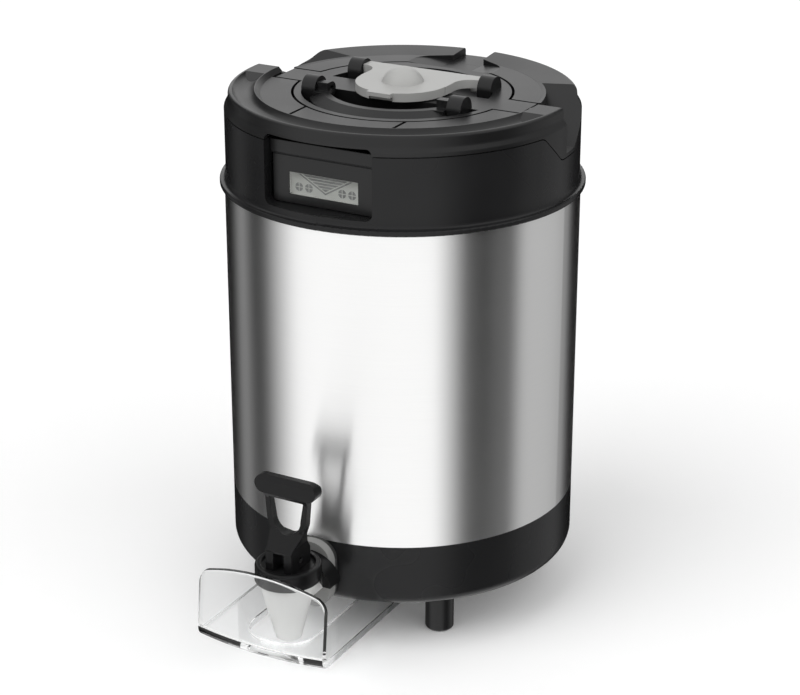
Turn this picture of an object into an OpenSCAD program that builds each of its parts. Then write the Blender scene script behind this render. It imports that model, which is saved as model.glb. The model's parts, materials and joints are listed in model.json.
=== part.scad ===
// Thermal coffee dispenser: vacuum vessel on legs, tap at the front, lift-out brew-through lid.
// Millimetres, +Z up, the tap faces -Y. The origin is on the vessel's axis, on the floor.

/* [Vessel] */
// Outer radius of the steel shell
shell_r = 110; // [108:0.5:116]
// Height of the steel band between base ring and collar
shell_h = 200; // [160:1:240]
// Thickness of the steel walls
steel_wall = 1; // [0.8:0.1:1.4]
// Gap between the two steel walls
vacuum_gap = 9; // [6:0.5:12]
// Inner radius of the vessel's neck
neck_r = 65; // [63.5:0.1:66]
// Outer radius of the drain stub under the vessel
drain_r = 7; // [6.5:0.1:8]

/* [Base] */
// Height of the base ring above the floor
leg_h = 32; // [29:0.5:60]
// Radius of a leg
leg_r = 9; // [7:0.5:10]
// Height of the base ring
base_h = 41; // [39:0.5:48]
// Thickness of the base ring's wall
base_wall = 6; // [5:0.5:8]
// Rounding of the base ring's lower edge
base_round = 8; // [4:0.5:10]
// Thickness of the base plate
plate_t = 3.5; // [3:0.5:5]

/* [Collar] */
// Height of the collar
collar_h = 46.5; // [44:0.5:54]
// Step from the steel in to the collar's wall
collar_step = 0.8; // [0.4:0.1:1.5]
// Thickness of the collar's wall
collar_wall = 4; // [3:0.5:5]
// How far the bead stands out from the steel
bead_out = 3; // [2:0.5:5]
// Width of the display pocket
pocket_w = 72; // [64:1:80]
// Depth of the display face behind the collar's front
pocket_d = 12.7; // [11:0.1:15]
// Width of the display window
window_w = 46; // [40:1:52]
// Height of the display window
window_h = 13.5; // [10:0.5:16]

/* [Top cover] */
// Height of the cover's flat top above the seam
cover_h = 9.5; // [8.5:0.5:12]
// Thickness of the cover's plate
cover_t = 8; // [7:0.5:8.5]
// Height of the front rim above the flat top
rim_up = 2.8; // [2:0.1:5]
// Height of the rear segments above the flat top
rear_up = 1.5; // [1:0.5:3]
// Distance from the front rim's ridge out to the collar's wall
rim_w = 19.2; // [18:0.1:20]
// Depth of the channel in the front rim
channel_d = 3.6; // [2:0.1:4.5]
// Radial depth of a hand scoop
scoop_d = 22; // [20.6:0.2:23]
// Depth of a hand scoop below the flat top
scoop_drop = 24.5; // [18:0.5:27]
// Width of the notch in the rear segments
notch_w = 21.6; // [16:0.2:30]

/* [Lid] */
// Width of the dark groove round the lid
lid_gap = 1.7; // [1.2:0.1:2]
// Width of the ears that locate the lid
ear_w = 22.5; // [16:0.5:24]
// Radius of the brew hole
brew_r = 12; // [10:0.5:12.5]
// Depth of the well under the bail
well_d = 14; // [10:0.5:15]
// Length of the tube below the lid's plug
tube_len = 150; // [100:1:170]
// Depth of the lid's plug
plug_h = 18; // [12:1:24]

/* [Flap and bail] */
// Radius of the flap's disc
flap_r = 28.9; // [26:0.1:31]
// Thickness of the flap
flap_t = 5.3; // [4.5:0.1:6]
// Distance from the axis back to the flap's hinge
flap_back = 27; // [25:0.5:29]
// Half of the flap's width over its arms
flap_arm = 40.3; // [38.5:0.1:41]
// Radius of the dome on the flap
dome_r = 13; // [10:0.5:15]
// Height of the dome
dome_h = 9; // [6:0.5:12]
// Gap round the bail in its well
bail_gap = 5; // [3:0.5:7]
// Width of the bail's bow
bail_w = 12; // [9:0.5:13]
// Distance from the axis forward to the bail's hinge
bail_front = 22; // [20:0.5:24]
// Radius of a hinge knuckle
knuckle_r = 7.5; // [6:0.5:8]
// Radius of the hinge pins
pin_r = 2.5; // [2:0.1:3]

/* [Tap] */
// Distance from the steel out to the tap's axis
tap_reach = 34; // [33:0.5:40]
// Gap between the shank's nut and the base plate
nut_clear = 0.5; // [0.5:0.1:3]
// Outer radius of the shank
shank_r = 9; // [8:0.5:10]
// Radius of the shank's passage
shank_bore = 5.5; // [4:0.5:6]
// Radius at the top of the spout
spout_r = 17.6; // [16.5:0.1:18.5]
// Radius of the spout's tip
tip_r = 7.9; // [7.5:0.1:10]
// Distance from the shank's axis down to the spout's tip
spout_drop = 30; // [26:0.5:34]
// Radius of the bonnet
bonnet_r = 20.2; // [20:0.1:22]
// Width of the flange plate
flange_w = 38; // [32:0.5:42]
// Height of the flange plate
flange_h = 46; // [40:0.5:50]

/* [Handle] */
// Width of the handle's bar
bar_w = 42; // [36:0.5:50]
// Height of the handle's bar
bar_h = 11.5; // [9:0.5:14]
// Height of the bar's top above the pin
handle_h = 51.5; // [49:0.5:60]
// Width of the handle's foot
foot_w = 18; // [16:0.5:20]
// Depth of the handle's foot
foot_d = 22; // [20:0.5:24]
// Thickness of the handle's plate
handle_t = 5; // [4:0.5:7]

/* [Splash guard] */
// Width of the guard
guard_w = 87; // [80:0.5:87]
// Distance from the tap's axis forward to the guard's front
guard_front = 40; // [34:0.5:50]
// Length of the guard's floor
guard_len = 160; // [130:1:165]
// Thickness of the guard
guard_t = 3.5; // [2.5:0.1:4]
// Height of the guard's front wall at its corners
guard_h = 43.5; // [36:0.5:50]
// Rise of the arched top edge
guard_arch = 9; // [4:0.5:12]
// Width of the slot for the spout
slot_w = 43.2; // [38:0.2:46]

/* [Hidden] */
$fn = 96;
fit = 0.05;          // radial clearance of a running or slip fit
pin_fit = 0.02;      // radial clearance of a pin that is held
gap = 0.3;           // clearance between parts that move past each other
seat_gap = 0.2;      // clearance between faces that seat on each other
eps = 1;             // overshoot of a cut past a face
arc_steps = 8;       // straight pieces in the arc of a rounded corner
far = 2 * (shell_h + shell_r);

// Heights of the main stack
plate_up = 4;
lip_h = 8;
shoulder_up = 3;
neck_drop = 10;
z_base = leg_h;
z_plate = z_base + plate_up;
z_plate_top = z_plate + plate_t;
z_shell = z_base + base_h;
z_vessel = z_shell + lip_h;
z_collar = z_shell + shell_h;
z_shoulder = z_collar + shoulder_up;
z_seam = z_collar + collar_h;
z_top = z_seam + cover_h;
z_neck = z_top - neck_drop;
z_lid = z_neck + gap;

// Base, legs and rails
base_ledge = 13.7;
stud_r = 4;
stud_end = 3;
foot_edge = 1.5;
leg_clear = 1.3;
rail_t = 3;
rail_lip = 3.3;
rail_lip_t = 1.5;
rail_len = 53;
base_in = shell_r - base_wall;
ledge_in = base_in - base_ledge;
rail_x = guard_w / 2 + gap;
rail_y0 = gap - other_side(ledge_in, rail_x + rail_t);
rail_y1 = rail_y0 + rail_len;
leg_x = rail_x + rail_t + leg_clear + leg_r;
leg_y = other_side(ledge_in - leg_clear - leg_r, leg_x);

// Vessel
neck_space = 1;
dish = 6;
stub_l = 15;
liner_r = shell_r - steel_wall - vacuum_gap;
neck_out = neck_r + 2 * steel_wall + neck_space;
z_liner = z_vessel + steel_wall + vacuum_gap;
z_liner_top = z_shoulder - steel_wall - vacuum_gap;
z_stub = z_vessel - stub_l;
drain_in = drain_r - steel_wall;

// Collar and display
bead_h = 3.2;
bead_edge = 0.9;
collar_lap = 0.5;
pocket_floor = 5;
pocket_wall = 3;
pocket_up = 4.3;
pocket_round = 4;
bezel_t = 4;
bezel_side = 2;
bezel_round = 3;
lcd_t = 3;
lcd_edge = 3;
board_t = 1.6;
board_edge = 7;
board_edge_z = 5.5;
board_up = 1;
window_up = 6;
window_back = 0.4;
line_drop = 9;
line_w = 0.8;
collar_r = shell_r - collar_step;
collar_in = collar_r - collar_wall;
bead_end = shell_r + bead_out;
z_bead = z_collar + collar_lap;
z_ledge = z_shoulder + seat_gap;
z_pocket = z_ledge + pocket_floor;
bezel_y = -(collar_r - pocket_d);
pocket_back = bezel_y + bezel_t + lcd_t + board_t + gap;
z_window = z_pocket + window_up;
z_window_mid = z_window + window_h / 2;
z_line = z_seam - line_drop;

// Top cover
seam_h = 0.7;
seam_d = 1.2;
cover_lip = 3;
cover_lip_h = 7;
cover_inset = 2.6;
edge_r = 2.2;
edge_steps = 5;
flare_up = 0.6;
flare_h = 5.4;
flare_steps = 6;
ridge_w = 0.5;
channel_y = -16;
channel_run = 9;
scoop_wall = 2.4;
scoop_y0 = 2.4;
scoop_y1 = 57;
scoop_flat = 16;
dip_y0 = -24;
dip_y1 = -4;
dip_y2 = 17;
dip_lead = 14;
dip_round = 7;
notch_drop = 3.5;
groove_w = 2;
groove_d = 1.5;
tongue_w = 67.4;
rear_half_w = 30;
rear_lap = 5;
rear_side = 18;
rear_round = 14;
rear_end = 1;
opening_r = neck_out + seat_gap;
rim_in = collar_r - rim_w;
scoop_r = collar_r - scoop_d;
rear_in = scoop_r - scoop_wall;
lip_r = collar_r - cover_inset - edge_r;
channel_half = (lip_r - rim_in) / 2 - ridge_w;
channel_r = (channel_half * channel_half + channel_d * channel_d) / (2 * channel_d);
z_under = z_top - cover_t;
z_crest = z_top + rim_up;
z_rear = z_top + rear_up;
z_sill = z_seam + seam_h;
z_flare = z_sill + flare_up;
z_scoop = z_top - scoop_drop;
z_dip = z_scoop - scoop_wall;
z_notch = z_top - notch_drop;
scoop_slope = (z_rear - z_scoop) / (scoop_y1 - scoop_flat);
dip_y3 = dip_y2 + (z_sill - z_dip) / scoop_slope;

// Lid
ear_t = 4;
ear_y = 1.25;
boss_gap = 1.5;
boss_h = 11;
lid_rim = 4.5;
well_y = -16.4;
recess_rim = 11.8;
recess_y = 8;
recess_d = 8;
hole_wall = 4;
rear_flat = 6.5;
gasket_h = 4;
gasket_w = 5.5;
tube_wall = 2;
hinge_up = 1;
knuckle_l = 9.5;
knuckle_end = 2;
pin_play = 0.5;
pin_end = knuckle_l - knuckle_end;
lid_r = opening_r - lid_gap;
lid_flat = lid_r - rear_flat;
ear_x = rear_in - gap;
ear_front = ear_y - ear_w / 2 - lid_gap;
ear_rear = ear_y + ear_w / 2 + lid_gap;
z_ear = z_top - ear_t - gap;
boss_r = neck_r - boss_gap;
well_r = lid_r - lid_rim;
recess_r = lid_r - recess_rim;
gasket_in = boss_r - gasket_w;
z_boss = z_lid - boss_h;
z_well = z_top - well_d;
z_recess = z_top - recess_d;
z_gasket = z_boss - gasket_h;
z_plug = z_gasket - plug_h;
z_hinge = z_top + hinge_up;

// Flap
flap_up = 0.7;
flap_rear = 4.2;
arm_fillet = 11;
arm_t = 8.5;
arm_eye = 4.2;
eye_l = 6;
tab_w = 16;
tab_out = 2.2;
tab_t = 2.5;
tab_step = 2.5;
seal_h = 5;
seal_gap = 0.8;
z_flap = z_top + flap_up;
flap_knuckle = flap_arm + gap;

// Bail
bail_t = 7;
bail_drop = 6;
bail_eye = 5;
bail_block = 7.5;
bail_bevel = 4;
bail_land = 4.5;
bail_arm_gap = 1;
bail_arm_lap = 2;
bail_r = well_r - bail_gap;
bail_in = bail_r - bail_w;
bail_knuckle = bail_in;
z_bail = z_top - bail_drop;

// Tap
nut_wall = 4;
nut_t = 8;
body_up = 8.7;
body_neck = 5.2;
neck_tap = 15;
bonnet_floor = 3;
bonnet_rim = 2.5;
bonnet_wall = 3.7;
bonnet_draft = 0.6;
bonnet_step = 4;
bonnet_edge = 1;
bonnet_seat = 0.1;
chamber_r = 10.5;
outlet_r = 6;
seat_drop = 13;
seat_rise = 3;
barrel_r = 12;
gasket_t = 3;
flange_t = 6;
flange_up = 1;
flange_round = 12;
flange_inset = 1.5;
gasket_d = 6;
pad_t = 4;
pad_w = 36;
spigot_l = 12;
spigot_r = 7;
elbow_r = 10;
elbow_gap = 3;
tail_gap = 2;
saddle_r = 21.5;
saddle_l = 12;
tap_y = -(shell_r + tap_reach);
nut_flats = 2 * (shank_r + nut_wall);
z_shank = z_plate_top + nut_clear + nut_flats / 2;
z_tip = z_shank - spout_drop;
z_body = z_shank + body_up;
z_bonnet = z_body + body_neck + bonnet_seat;
z_recess_tap = z_bonnet + bonnet_floor;
bonnet_in = bonnet_r - bonnet_wall;
z_seat = z_shank - seat_drop;
flange_y = -(shell_r + gasket_t);
flange_face = flange_y - flange_t;
pad_y = -(base_in - pad_t);
nut_back = pad_y + nut_t;
saddle_y = flange_face - saddle_l;

// Stem and spring
stem_r = 2.5;
pin_up = 6;
tang_w = 6.8;
tang_d = 7;
tang_h = 8;
handle_pin_r = 2;
pin_inset = 0.5;
cup_gap = 0.9;
cup_up = 2;
cup_lift = 0.4;
cup_edge = 1.5;
cup_socket = 9;
cup_nose = outlet_r - gap;
spring_r = 6;
spring_wire = 0.8;
spring_turns = 4;
spring_seat = 0.1;
z_pin = z_recess_tap + pin_up;
cup_r = chamber_r - cup_gap;
z_cup = z_seat + cup_lift;
z_cup_top = z_shank + cup_up;
z_socket = z_cup_top - cup_socket;

// Handle
plate_shift = 1.6;
bar_t = 8;
bar_edge = 2;
bar_flare = 3;
handle_half = 15.4;
waist_half = 13.4;
waist_drop = 17;
window_round = 9.6;
window_rise = 2;
window_side = 3.6;
knee_up = 15;
heel_h = 10;
heel_rise = 7;
toe_drop = 2;
toe_rise = 8;
slot_back = 2.5;
slot_up = 6;
z_foot = z_recess_tap + gap;
z_bar = z_pin + handle_h - bar_h;
z_crown = z_bar + bar_h;
z_waist = z_bar - waist_drop;
z_knee = z_foot + knee_up;

// Splash guard
guard_drop = 6;
guard_round = 200;
guard_lean = 3.5;
guard_corner = 5;
guard_deep = 30;
slot_front = 23;
slot_round = 18;
z_guard = z_base - guard_drop;
guard_y = tap_y - guard_front;

black = [0.13, 0.13, 0.14];
dark = [0.2, 0.2, 0.21];
steel = [0.78, 0.78, 0.77];
grey = [0.74, 0.74, 0.73];
silicone = [0.85, 0.85, 0.83];

// Shared shapes

// Second short side of a right-angled triangle
function other_side(long_side, short_side) = sqrt(long_side * long_side - short_side * short_side);

// Outline with round corners; each corner is [x, y, radius]
function rounded(corners) = let (n = len(corners)) [for (i = [0 : n - 1])
    each corner_arc(corners[(i + n - 1) % n], corners[i], corners[(i + 1) % n])];

// Points along the arc of one corner, or the corner itself where its radius is 0
function corner_arc(before, corner, after) = corner[2] == 0 ? [place(corner)] : let (
    a = unit(place(before) - place(corner)),
    b = unit(place(after) - place(corner)),
    turn = 180 - acos(a * b),
    centre = place(corner) + unit(a + b) * corner[2] / cos(turn / 2),
    u = unit(place(corner) + a * corner[2] * tan(turn / 2) - centre),
    v = unit(place(corner) + b * corner[2] * tan(turn / 2) - centre))
    [for (k = [0 : arc_steps]) let (t = k / arc_steps)
        centre + corner[2] * (sin((1 - t) * turn) * u + sin(t * turn) * v) / sin(turn)];

function place(corner) = [corner[0], corner[1]];
function unit(v) = v / norm(v);

// Rectangle in the plane of a revolved profile, from radius r0 to r1 and height z0 to z1
module band(r0, r1, z0, z1) {
    translate([r0, z0]) square([r1 - r0, z1 - z0]);
}

// Box between two corners
module box(low, high) {
    translate(low) cube(high - low);
}

// Tube or rod along Z
module rod(r, z0, z1) {
    translate([0, 0, z0]) cylinder(r = r, h = z1 - z0);
}

// Rod along Y from y0 to y1 at height z
module rod_y(r, y0, y1, z) {
    translate([0, y1, z]) rotate([90, 0, 0]) cylinder(r = r, h = y1 - y0);
}

// Rod along X from x0 to x1
module rod_x(r, x0, x1, y, z) {
    translate([x0, y, z]) rotate([0, 90, 0]) cylinder(r = r, h = x1 - x0);
}

// Outline drawn in x and z, extruded from y0 to y1
module front_extrude(y0, y1) {
    translate([0, y1, 0]) rotate([90, 0, 0]) linear_extrude(y1 - y0) children();
}

// Outline drawn in y and z, extruded from x0 to x1
module side_extrude(x0, x1) {
    translate([x0, 0, 0]) rotate([90, 0, 90]) linear_extrude(x1 - x0) children();
}

// The same shape on the right and on the left
module both_sides() {
    children();
    mirror([1, 0, 0]) children();
}

// Upright rectangle with round corners, drawn in x and z
module round_rect(w, h, r) {
    square([w - 2 * r, h], center = true);
    square([w, h - 2 * r], center = true);
    for (sx = [-1, 1], sz = [-1, 1])
        translate([sx * (w / 2 - r), sz * (h / 2 - r)]) circle(r);
}

// Vacuum vessel

module outer_shell() {
    color(steel) rotate_extrude() {
        band(shell_r - steel_wall, shell_r, z_shell, z_shoulder);
        band(drain_r + fit, shell_r - steel_wall / 2, z_vessel, z_vessel + steel_wall);
        band(neck_out - steel_wall, shell_r - steel_wall / 2, z_shoulder - steel_wall, z_shoulder);
        band(neck_out - steel_wall, neck_out, z_shoulder - steel_wall / 2, z_neck);
        band(neck_r, neck_out - steel_wall / 2, z_neck - steel_wall, z_neck);
    }
}

module inner_liner() {
    color(steel) rotate_extrude() {
        band(liner_r - steel_wall, liner_r, z_liner + dish, z_liner_top);
        band(neck_r, liner_r - steel_wall / 2, z_liner_top - steel_wall, z_liner_top);
        band(neck_r, neck_r + steel_wall, z_liner_top - steel_wall / 2, z_neck - steel_wall);
        polygon([[drain_in, z_liner], [liner_r, z_liner + dish], [liner_r, z_liner + dish + steel_wall],
            [drain_in, z_liner + steel_wall]]);
        band(drain_in, drain_r, z_stub, z_liner + steel_wall / 2);
    }
}

module drain_elbow() {
    color(silicone) difference() {
        union() {
            rod(elbow_r, z_shank, z_vessel - elbow_gap);
            sphere_at([0, 0, z_shank], elbow_r);
            rod_y(elbow_r, nut_back + tail_gap, 0, z_shank);
        }
        rod(drain_in, z_shank, z_vessel);
        sphere_at([0, 0, z_shank], drain_in);
        rod(drain_r + fit, z_stub - gap, z_vessel);
        rod_y(drain_in, pad_y, 0, z_shank);
        rod_y(spigot_r + fit, pad_y, nut_back + spigot_l + gap, z_shank);
    }
}

module sphere_at(p, r) {
    translate(p) sphere(r);
}

// Base

module base_ring() {
    color(black) difference() {
        union() {
            rotate_extrude() difference() {
                union() {
                    band(base_in, shell_r, z_base + base_round, z_shell);
                    translate([shell_r - base_round, z_base + base_round]) circle(base_round);
                    band(ledge_in, shell_r - base_round, z_base, z_base + 2 * base_round);
                    band(base_in, shell_r - steel_wall - fit, z_shell - eps, z_vessel);
                }
                band(0, base_in, z_plate, far);
            }
            // flat pad behind the shank's nut
            intersection() {
                box([-pad_w / 2, -shell_r, z_plate_top + gap], [pad_w / 2, pad_y, z_shank + pad_w / 2]);
                rod(base_in + eps, 0, far);
            }
        }
        rod_y(shank_r + gap, -far, pad_y + eps, z_shank);
    }
}

module base_plate() {
    color(dark) difference() {
        rod(base_in - gap, z_plate, z_plate_top);
        for (sx = [-1, 1], sy = [-1, 1])
            translate([sx * leg_x, sy * leg_y]) rod(stud_r + fit, 0, far);
    }
}

module leg(sx, sy) {
    color(black) translate([sx * leg_x, sy * leg_y]) rotate_extrude() {
        polygon([[0, 0], [leg_r - foot_edge, 0], [leg_r, foot_edge], [leg_r, z_plate], [0, z_plate]]);
        band(0, stud_r, z_plate - eps, z_plate_top + stud_end);
    }
}

module leg_front_right() { leg(1, -1); }
module leg_front_left() { leg(-1, -1); }
module leg_rear_right() { leg(1, 1); }
module leg_rear_left() { leg(-1, 1); }

module guard_rail() {
    z_lip = z_guard - gap;
    color(black) front_extrude(rail_y0, rail_y1) {
        band(rail_x, rail_x + rail_t, z_lip - rail_lip_t, z_plate);
        band(rail_x - rail_lip, rail_x + rail_t, z_lip - rail_lip_t, z_lip);
    }
}

module guard_rail_right() { guard_rail(); }
module guard_rail_left() { mirror([1, 0, 0]) guard_rail(); }

// Collar and display

// Side view of the cover's piece that dips round a hand scoop, lowered by down
module scoop_outline(down) {
    z_side = z_sill - down;
    z_low = z_dip - down;
    z_end = z_crest + eps;
    polygon(rounded([[dip_y0 - dip_lead, z_end, 0], [dip_y0 - dip_lead, z_side, 0],
        [dip_y0, z_side, dip_round], [dip_y1, z_low, dip_round], [dip_y2, z_low, dip_round],
        [dip_y3, z_side, dip_round], [scoop_y1, z_side, 0], [scoop_y1, z_end, 0]]));
}

// Front view of the display pocket, which reaches up into the cover
module pocket_outline() {
    h = z_seam + pocket_up - z_pocket;
    translate([0, z_pocket + h / 2]) round_rect(pocket_w, h, pocket_round);
}

// Lip at the collar's lower edge, with a hollow fillet up to the wall
module bead_profile() {
    z_lip = z_bead + bead_h;
    fillet = bead_end - bead_edge - collar_r;
    band(collar_in, bead_end - bead_edge, z_bead, z_lip);
    band(collar_in, bead_end, z_bead + bead_edge, z_lip - bead_edge);
    for (z = [z_bead + bead_edge, z_lip - bead_edge])
        translate([bead_end - bead_edge, z]) circle(bead_edge);
    difference() {
        band(collar_in, collar_r + fillet, z_lip - bead_edge, z_lip + fillet);
        translate([collar_r + fillet, z_lip + fillet]) circle(fillet);
    }
}

module collar() {
    color(black) difference() {
        union() {
            rotate_extrude() difference() {
                union() {
                    band(collar_in, collar_r, z_ledge, z_seam);
                    bead_profile();
                }
                band(0, shell_r + fit, z_collar - eps, z_ledge);
                band(0, collar_in, z_collar - eps, z_seam + eps);
            }
            // walls, floor and back of the display pocket
            intersection() {
                box([-pocket_w / 2 - pocket_wall, -shell_r, z_ledge],
                    [pocket_w / 2 + pocket_wall, pocket_back + pocket_wall, z_seam]);
                rod(collar_r - collar_wall / 2, 0, far);
            }
        }
        front_extrude(-far, pocket_back) pocket_outline();
        both_sides() side_extrude(rear_in - gap, far) scoop_outline(seam_h);
    }
}

module display_bezel() {
    color(dark) difference() {
        front_extrude(bezel_y, bezel_y + bezel_t) {
            band(gap - pocket_w / 2, pocket_w / 2 - gap, z_line, z_seam - gap);
            bezel_plate(pocket_w / 2 - bezel_side);
        }
        front_extrude(bezel_y - eps, bezel_y + bezel_t + eps)
            translate([0, z_window_mid]) square([window_w, window_h], center = true);
        // thin line under the upper strip
        translate([-far / 2, bezel_y - eps, z_line]) cube([far, line_w + eps, line_w]);
    }
}

// Front view of the bezel below its upper strip
module bezel_plate(half) {
    z_low = z_pocket + gap;
    polygon(rounded([[-half, z_low, bezel_round], [half, z_low, bezel_round],
        [half, z_line + eps, 0], [-half, z_line + eps, 0]]));
}

module display_window() {
    color([0.6, 0.62, 0.62]) front_extrude(bezel_y + window_back, bezel_y + bezel_t)
        translate([0, z_window_mid])
            square([window_w - 2 * fit, window_h - 2 * fit], center = true);
}

module display_screen() {
    color([0.45, 0.46, 0.46]) front_extrude(bezel_y + bezel_t, bezel_y + bezel_t + lcd_t)
        translate([0, z_window_mid])
            square([window_w + 2 * lcd_edge, window_h + 2 * lcd_edge], center = true);
}

module display_board() {
    y0 = bezel_y + bezel_t + lcd_t;
    color("darkgreen") front_extrude(y0, y0 + board_t)
        translate([0, z_window_mid + board_up])
            square([window_w + 2 * board_edge, window_h + 2 * board_edge_z], center = true);
}

// Top cover

// Outer edge of the cover, from its lip at height crest down past the flare
function edge_points(crest) = concat(
    [for (i = [0 : edge_steps]) let (a = 90 * i / edge_steps)
        [lip_r + edge_r * sin(a), crest - edge_r * (1 - cos(a))]],
    [for (i = [0 : flare_steps]) let (t = i / flare_steps)
        [collar_r - cover_inset * (1 + cos(180 * t)) / 2, z_flare + flare_h * (1 - t)]]);

// Foot of the cover, with the groove that shows as the seam above the collar
function seam_points() = [[collar_r, z_sill], [collar_r - seam_d, z_sill], [collar_r - seam_d, z_seam],
    [collar_in, z_seam], [collar_in, z_under]];

module rim_blank() {
    rotate_extrude() polygon(concat([[scoop_r, z_under], [scoop_r, z_top], [rim_in, z_crest]],
        edge_points(z_crest), seam_points()));
}

module rear_blank() {
    rotate_extrude() polygon(concat([[rear_in, z_under], [rear_in, z_top]],
        edge_points(z_rear), seam_points()));
}

module scoop_blank() {
    rotate_extrude() polygon(concat([[rear_in, z_dip - eps], [rear_in, z_top]],
        edge_points(z_rear), [[collar_r, z_dip - eps]]));
}

module scoop_cut() {
    difference() {
        side_extrude(0, far)
            polygon([[scoop_y0, z_scoop], [scoop_flat, z_scoop], [scoop_y1, z_rear],
                [scoop_y1, far], [scoop_y0, far]]);
        rod(scoop_r, 0, far + eps);
    }
}

// Skirt and lining that dip round a hand scoop
module scoop_lining() {
    intersection() {
        side_extrude(0, far) scoop_outline(0);
        difference() {
            scoop_blank();
            // hollow ahead of the scoop's front wall
            intersection() {
                rod(collar_in, 0, far);
                box([0, -far, 0], [far, scoop_y0 - scoop_wall, far]);
            }
        }
    }
}

// Hollow channel along the top of the front rim, with a slope at each end
module rim_channel() {
    z_low = z_crest - channel_d;
    y_low = channel_y - channel_run;
    intersection() {
        rotate_extrude() translate([(lip_r + rim_in) / 2, z_low + channel_r]) circle(channel_r);
        side_extrude(-far, far) polygon([[-far, 0], [y_low, 0], [y_low, z_low], [channel_y, z_crest],
            [channel_y, far], [-far, far]]);
    }
}

// Front rim with the two hand scoops
module top_cover() {
    color(black) difference() {
        union() {
            intersection() {
                rim_blank();
                box([-far, -far, 0], [far, scoop_y0, far]);
            }
            both_sides() scoop_lining();
        }
        both_sides() {
            scoop_cut();
            box([0, scoop_y0, z_ear], [scoop_r, ear_rear, far]);
        }
        rim_channel();
        front_extrude(-far, bezel_y + bezel_t) pocket_outline();
    }
}

// Front view of the pocket behind the lid, deepest at the notch
module pocket_section() {
    polygon([[-rear_half_w, z_top], [-notch_w / 2, z_notch], [notch_w / 2, z_notch],
        [rear_half_w, z_top], [rear_half_w, far], [-rear_half_w, far]]);
}

module rear_pocket() {
    y0 = lid_flat - rear_lap;
    y1 = lid_flat + rear_side;
    y2 = scoop_r + rear_end;
    intersection() {
        linear_extrude(far) polygon(rounded([[-rear_half_w, y0, 0], [rear_half_w, y0, 0],
            [rear_half_w, y1, rear_round], [notch_w / 2, y2, 0], [-notch_w / 2, y2, 0],
            [-rear_half_w, y1, rear_round]]));
        front_extrude(0, far) pocket_section();
    }
}

// Rear segments with the notch between them
module rear_rim() {
    color(black) difference() {
        intersection() {
            rear_blank();
            box([-far, scoop_y1 + fit, 0], [far, far, far]);
        }
        box([-notch_w / 2, lid_r, z_notch], [notch_w / 2, far, far]);
        rear_pocket();
    }
}

// Flat ring round the lid
module lid_ring() {
    color(black) difference() {
        union() {
            rotate_extrude() {
                band(opening_r, rear_in - fit, z_under, z_top);
                band(opening_r, opening_r + cover_lip, z_neck - cover_lip_h, z_top - eps);
            }
            intersection() {
                rotate_extrude() band(rear_in - eps, scoop_r - fit, z_under, z_top);
                box([-far, -far, 0], [far, scoop_y0 - scoop_wall - fit, far]);
            }
        }
        // pockets for the lid's ears
        box([-far, ear_front, z_ear], [far, ear_rear, far]);
        // grooves beside the front tongue
        for (sx = [-1, 1]) translate([sx * tongue_w / 2, 0, 0])
            box([-groove_w / 2, -far, z_top - groove_d], [groove_w / 2, -opening_r / 2, far]);
        rear_pocket();
    }
}

// Tap

module at_tap() {
    translate([0, tap_y, 0]) children();
}

module faucet_body() {
    color(grey) difference() {
        union() {
            at_tap() {
                translate([0, 0, z_tip]) cylinder(r1 = tip_r, r2 = spout_r, h = z_body - z_tip);
                rod(neck_tap, z_body - eps, z_body + body_neck);
            }
            // barrel, cut flat where the bonnet sits on it
            difference() {
                rod_y(barrel_r, tap_y, flange_face, z_shank);
                at_tap() rod(bonnet_r + gap, z_body, far);
            }
            rod_y(shank_r, flange_face - eps, nut_back, z_shank);
            rod_y(spigot_r, flange_face - eps, nut_back + spigot_l, z_shank);
        }
        at_tap() {
            rod(outlet_r, 0, z_seat + eps);
            translate([0, 0, z_seat]) cylinder(r1 = outlet_r, r2 = chamber_r, h = seat_rise);
            rod(chamber_r, z_seat + seat_rise, far);
        }
        rod_y(shank_bore, tap_y, 0, z_shank);
    }
}

module flange_outline(inset) {
    translate([0, z_shank + flange_up])
        round_rect(flange_w - 2 * inset, flange_h - 2 * inset, flange_round - inset);
}

module shank_flange() {
    color([0.6, 0.6, 0.59]) difference() {
        front_extrude(flange_face, flange_y) flange_outline(0);
        rod_y(shank_r + fit, -far, 0, z_shank);
    }
}

module shank_gasket() {
    color(dark) difference() {
        front_extrude(flange_y, 0) flange_outline(flange_inset);
        rod(shell_r + fit, 0, far, $fn = 480);
        box([-far, -shell_r + gasket_d, 0], [far, far, far]);
        rod_y(shank_r + fit, -far, 0, z_shank);
    }
}

module shank_nut() {
    color("gainsboro") difference() {
        translate([0, nut_back, z_shank]) rotate([90, 0, 0])
            cylinder(r = nut_flats / 2 / cos(30), h = nut_t, $fn = 6);
        rod_y(shank_r + fit, -far, 0, z_shank);
    }
}

module shank_collar() {
    color(black) difference() {
        intersection() {
            rod_y(saddle_r, saddle_y, flange_face, z_shank);
            box([-far, -far, z_shank], [far, far, far]);
        }
        rod_y(barrel_r + fit, -far, 0, z_shank);
        at_tap() rod(bonnet_r + gap, 0, far);
    }
}

module bonnet() {
    z_rim = z_recess_tap + bonnet_rim;
    color(black) at_tap() rotate_extrude() difference() {
        polygon([[stem_r + fit, z_body], [bonnet_r - bonnet_draft, z_body],
            [bonnet_r, z_body + bonnet_step], [bonnet_r, z_rim - bonnet_edge],
            [bonnet_r - bonnet_edge, z_rim], [stem_r + fit, z_rim]]);
        band(0, neck_tap + fit, 0, z_bonnet);
        band(0, bonnet_in, z_recess_tap, far);
    }
}

// Stem, spring and handle

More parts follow.
